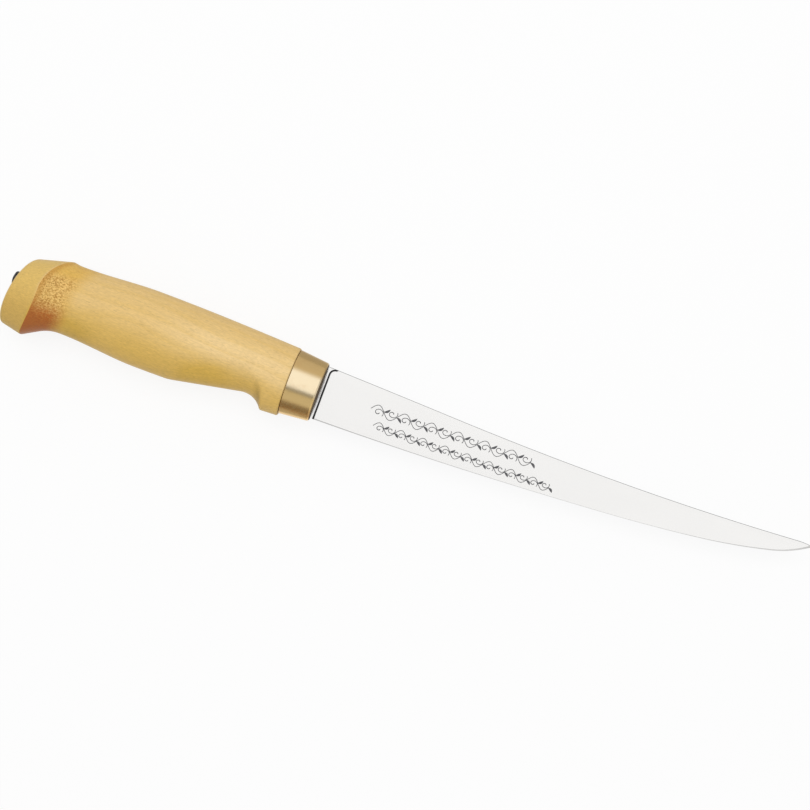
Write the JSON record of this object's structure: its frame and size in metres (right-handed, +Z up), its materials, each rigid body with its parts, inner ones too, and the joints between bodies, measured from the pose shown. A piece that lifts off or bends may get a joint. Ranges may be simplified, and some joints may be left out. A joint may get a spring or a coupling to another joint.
{
  "type": "fillet knife",
  "caption": "Fixed-blade fillet knife: long narrow upswept blade, tapered brass ferrule and birch handle with a finger groove and a flared pommel.",
  "frame": {"origin": "under the middle of the knife's box, on the surface that the knife lies on", "axes": "+X from the butt to the tip, +Y from the edge to the spine, +Z up through the thickness, with the knife lying on its side"},
  "size_m": [0.3114, 0.033, 0.027],
  "materials": {
    "blade": "fine satin polish along the blade",
    "ferrule": "polished, lightly tarnished",
    "handle": "birch, waxed to a soft sheen, browned in the hollows",
    "tang_glue": "hard resin, sealed in the bore",
    "tang_washer": "blackened steel"
  },
  "bodies": {
    "root": {"blade": "blade", "ferrule": "ferrule", "handle": "handle", "tang_glue": "tang_glue", "tang_washer": "tang_washer"}
  },
  "joints": []
}
